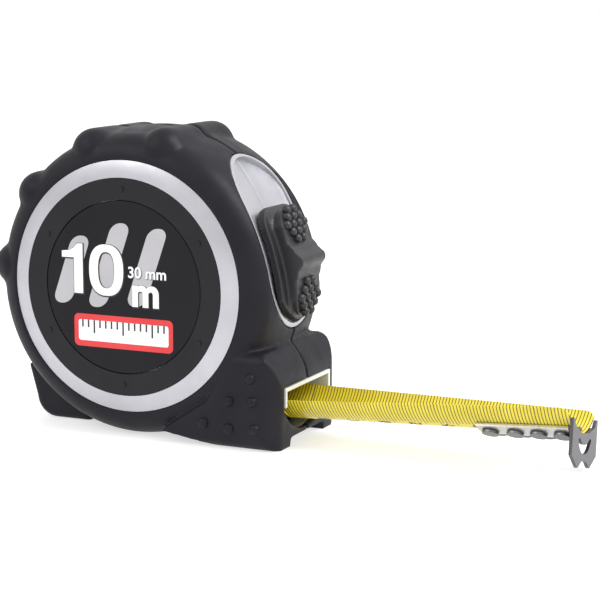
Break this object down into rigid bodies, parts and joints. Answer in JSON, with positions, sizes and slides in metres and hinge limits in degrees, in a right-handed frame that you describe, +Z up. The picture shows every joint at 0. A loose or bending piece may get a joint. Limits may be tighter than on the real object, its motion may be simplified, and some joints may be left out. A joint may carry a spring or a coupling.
{
  "type": "tape measure",
  "caption": "Pocket tape measure with a rubber-jacketed round case, thumb lock, drawn-out curved tape and a riveted end hook.",
  "frame": {"origin": "on the base plane, under the drum axis, halfway across the case", "axes": "+X the way the tape comes out, +Y the belt clip side, +Z up"},
  "size_m": [0.1886, 0.0578, 0.0943],
  "materials": {
    "silver": "metallic silver plastic",
    "rubber": "matte moulded rubber",
    "black_satin": "satin",
    "black_print": "printed film",
    "black_rubbery": "fine texture",
    "nylon": "matte",
    "steel": "nickel plated",
    "yellow_tape": "coated",
    "dark_steel": "blued",
    "rivet": "bright"
  },
  "bodies": {
    "case": {"near_shell": "silver", "far_shell": "silver", "near_grip": "rubber", "far_grip": "rubber", "near_inlay": "black_satin", "far_inlay": "black_satin", "near_badge": "black_print", "far_badge": "black_print", "case_screws": "steel", "spindle": "steel", "brake_pin": "steel", "tape_feed": "yellow_tape", "mouth_trim": "silver", "tape_guides": "nylon", "belt_clip": "steel", "clip_screw": "steel", "return_spring": "steel"},
    "drum": {"drum_hub": "nylon", "near_flange": "nylon", "far_flange": "nylon", "tape_coil": "yellow_tape"},
    "tape": {"blade": "yellow_tape"},
    "tape_end": {"hook_rivets": "rivet"},
    "hook": {"end_hook": "dark_steel"},
    "thumb_lock": {"thumb_lock": "black_rubbery"},
    "brake": {"brake_lever": "nylon", "brake_shoe": "rubber"}
  },
  "joints": [
    {"name": "tape_slide", "type": "slide", "parent": "case", "child": "tape", "axis": [0.9979, -0.0436, 0.0471], "range_m": [-0.0853, 0], "deforming": ["blade", "tape_feed"]},
    {"name": "drum_spin", "type": "hinge", "parent": "case", "child": "drum", "pos_m": [0, 0, 0.0463], "axis": [0, 1, 0], "range_deg": [-1, 160]},
    {"name": "hook_level", "type": "hinge", "parent": "tape", "child": "tape_end", "pos_m": [0.13712, -0.0052, 0.01842], "axis": [0.9979, -0.0436, 0.0471], "range_deg": [-1, 14.5]},
    {"name": "hook_play", "type": "slide", "parent": "tape_end", "child": "hook", "axis": [0.9979, -0.0436, 0.0471], "range_m": [0, 0.001]},
    {"name": "thumb_slide", "type": "hinge", "parent": "case", "child": "thumb_lock", "pos_m": [-0.0326, 0, 0.03411], "axis": [0, -1, 0], "range_deg": [0, 8]},
    {"name": "brake_press", "type": "hinge", "parent": "case", "child": "brake", "pos_m": [0.031, 0, 0.017], "axis": [0, 1, 0], "range_deg": [-0.5, 4.5]}
  ],
  "couplings": [
    {"joint": "drum_spin", "follows": "tape_slide", "rad_per_m": -31.746},
    {"joint": "hook_level", "follows": "tape_slide", "rad_per_m": -2.8645},
    {"joint": "brake_press", "follows": "thumb_slide", "ratio": 0.42}
  ]
}
